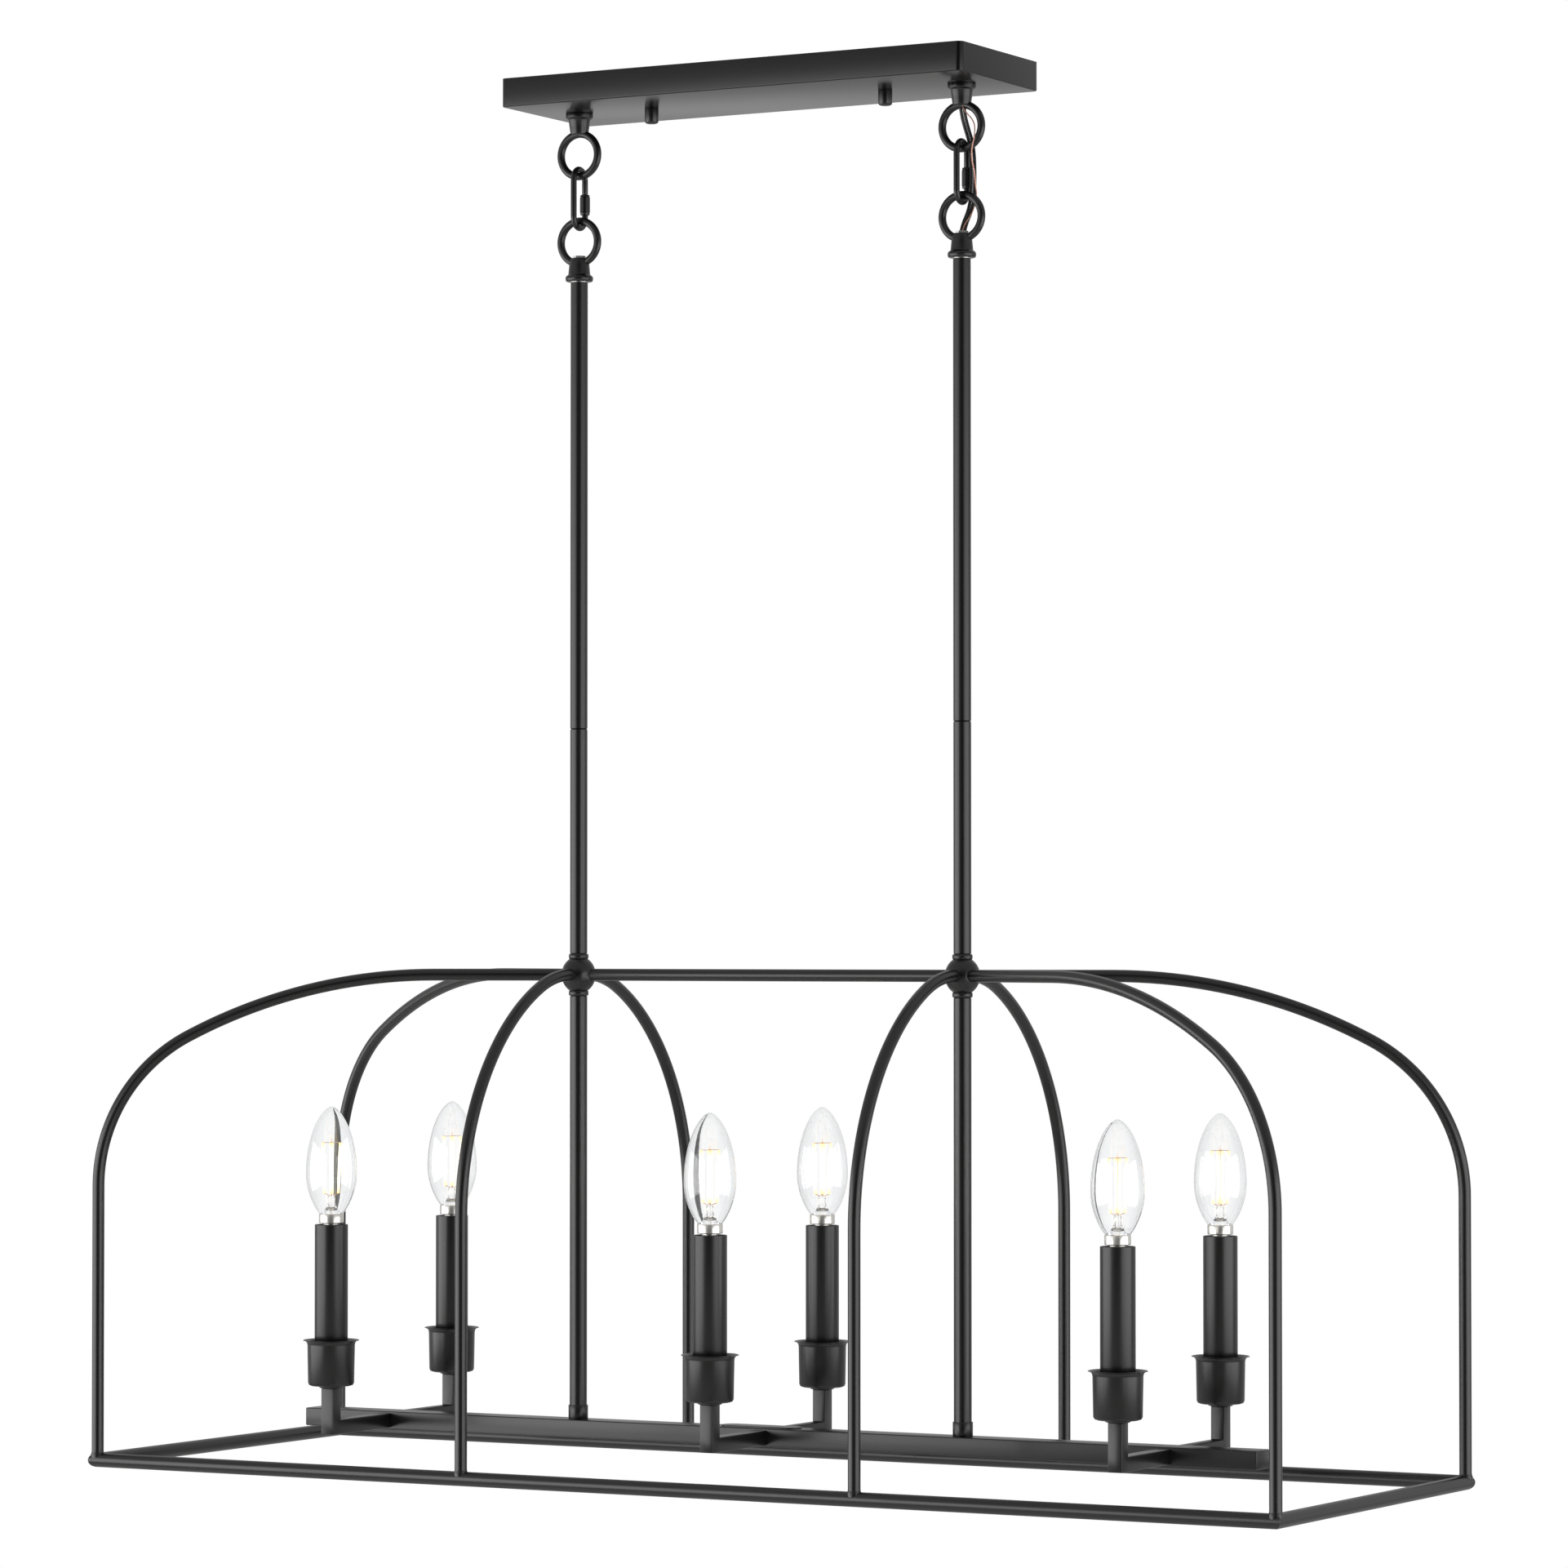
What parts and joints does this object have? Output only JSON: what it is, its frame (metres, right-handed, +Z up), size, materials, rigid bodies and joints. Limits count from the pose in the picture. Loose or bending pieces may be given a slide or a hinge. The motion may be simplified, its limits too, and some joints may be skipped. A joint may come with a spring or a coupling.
{
  "type": "linear island pendant",
  "caption": "Ceiling pendant: a flat canopy, screw links and stems carry an open cage of bent rods over a bar of candle lamps.",
  "frame": {"origin": "on the ceiling plane at the middle of the canopy and of its two box screws", "axes": "+X along the fixture, +Y across it towards the back row of candles, +Z up"},
  "size_m": [0.8694, 0.3008, 0.9217],
  "materials": {
    "black_steel": "matte powder coat",
    "black_sleeve": "matte",
    "zinc_steel": "zinc plated",
    "socket_plastic": "matte",
    "lamp_metal": "satin",
    "clear_glass": "clear",
    "lead_insulation": "satin",
    "bare_copper": "bare wire"
  },
  "bodies": {
    "canopy_body": {"canopy": "black_steel", "mounting_crossbar": "zinc_steel", "crossbar_studs": "zinc_steel", "cap_nuts": "black_steel", "ground_screw": "zinc_steel", "canopy_loop_left": "black_steel", "canopy_loop_right": "black_steel", "loop_lock_nuts": "zinc_steel", "supply_leads_upper": "lead_insulation", "ground_wire_upper": "bare_copper"},
    "link_left_body": {"quick_link_left": "black_steel"},
    "link_right_body": {"quick_link_right": "black_steel"},
    "sleeve_left_body": {"link_sleeve_nut_left": "black_steel"},
    "sleeve_right_body": {"link_sleeve_nut_right": "black_steel"},
    "lamp_1_body": {"lamp_cap_1": "lamp_metal", "lamp_glass_1": "clear_glass"},
    "lamp_2_body": {"lamp_cap_2": "lamp_metal", "lamp_glass_2": "clear_glass"},
    "lamp_3_body": {"lamp_cap_3": "lamp_metal", "lamp_glass_3": "clear_glass"},
    "lamp_4_body": {"lamp_cap_4": "lamp_metal", "lamp_glass_4": "clear_glass"},
    "lamp_5_body": {"lamp_cap_5": "lamp_metal", "lamp_glass_5": "clear_glass"},
    "lamp_6_body": {"lamp_cap_6": "lamp_metal", "lamp_glass_6": "clear_glass"},
    "fixture_body": {"bar_collars": "black_steel", "bar_cover": "black_steel", "candle_cups": "black_steel", "candle_sleeves": "black_sleeve", "centre_bar": "black_steel", "centre_rod": "black_steel", "corner_arch_back_left": "black_steel", "corner_arch_back_right": "black_steel", "corner_arch_front_left": "black_steel", "corner_arch_front_right": "black_steel", "ground_wire_lower": "bare_copper", "hub_ball_left": "black_steel", "hub_ball_right": "black_steel", "hub_collars": "black_steel", "lamp_arms": "black_steel", "lamp_sockets": "socket_plastic", "lower_stem_left": "black_steel", "lower_stem_right": "black_steel", "middle_stem_left": "black_steel", "middle_stem_right": "black_steel", "rail_back": "black_steel", "rail_front": "black_steel", "rail_left": "black_steel", "rail_right": "black_steel", "side_arch_back_left": "black_steel", "side_arch_back_right": "black_steel", "side_arch_front_left": "black_steel", "side_arch_front_right": "black_steel", "stem_couplers": "zinc_steel", "stem_loop_left": "black_steel", "stem_loop_right": "black_steel", "supply_leads_lower": "lead_insulation", "upper_stem_left": "black_steel", "upper_stem_right": "black_steel"}
  },
  "joints": [
    {"name": "left_link_swing", "type": "hinge", "parent": "canopy_body", "child": "link_left_body", "pos_m": [-0.144, 0, -0.0607], "axis": [1, 0, 0], "range_deg": [-35, 35]},
    {"name": "right_link_swing", "type": "hinge", "parent": "canopy_body", "child": "link_right_body", "pos_m": [0.144, 0, -0.0607], "axis": [1, 0, 0], "range_deg": [-35, 35], "deforming": ["supply_leads_upper", "ground_wire_upper"]},
    {"name": "fixture_swing", "type": "hinge", "parent": "link_right_body", "child": "fixture_body", "pos_m": [0.144, 0, -0.0906], "axis": [1, 0, 0], "range_deg": [-35, 35], "deforming": ["supply_leads_lower", "ground_wire_lower"]},
    {"name": "left_sleeve_slide", "type": "slide", "parent": "link_left_body", "child": "sleeve_left_body", "axis": [0, 0, 1], "range_m": [0, 0.008]},
    {"name": "right_sleeve_slide", "type": "slide", "parent": "link_right_body", "child": "sleeve_right_body", "axis": [0, 0, 1], "range_m": [0, 0.008]},
    {"name": "lamp_1_out", "type": "slide", "parent": "fixture_body", "child": "lamp_1_body", "axis": [0, 0, 1], "range_m": [0, 0.012]},
    {"name": "lamp_2_out", "type": "slide", "parent": "fixture_body", "child": "lamp_2_body", "axis": [0, 0, 1], "range_m": [0, 0.012]},
    {"name": "lamp_3_out", "type": "slide", "parent": "fixture_body", "child": "lamp_3_body", "axis": [0, 0, 1], "range_m": [0, 0.012]},
    {"name": "lamp_4_out", "type": "slide", "parent": "fixture_body", "child": "lamp_4_body", "axis": [0, 0, 1], "range_m": [0, 0.012]},
    {"name": "lamp_5_out", "type": "slide", "parent": "fixture_body", "child": "lamp_5_body", "axis": [0, 0, 1], "range_m": [0, 0.012]},
    {"name": "lamp_6_out", "type": "slide", "parent": "fixture_body", "child": "lamp_6_body", "axis": [0, 0, 1], "range_m": [0, 0.012]}
  ],
  "couplings": [
    {"joint": "left_link_swing", "follows": "right_link_swing", "ratio": 1}
  ]
}
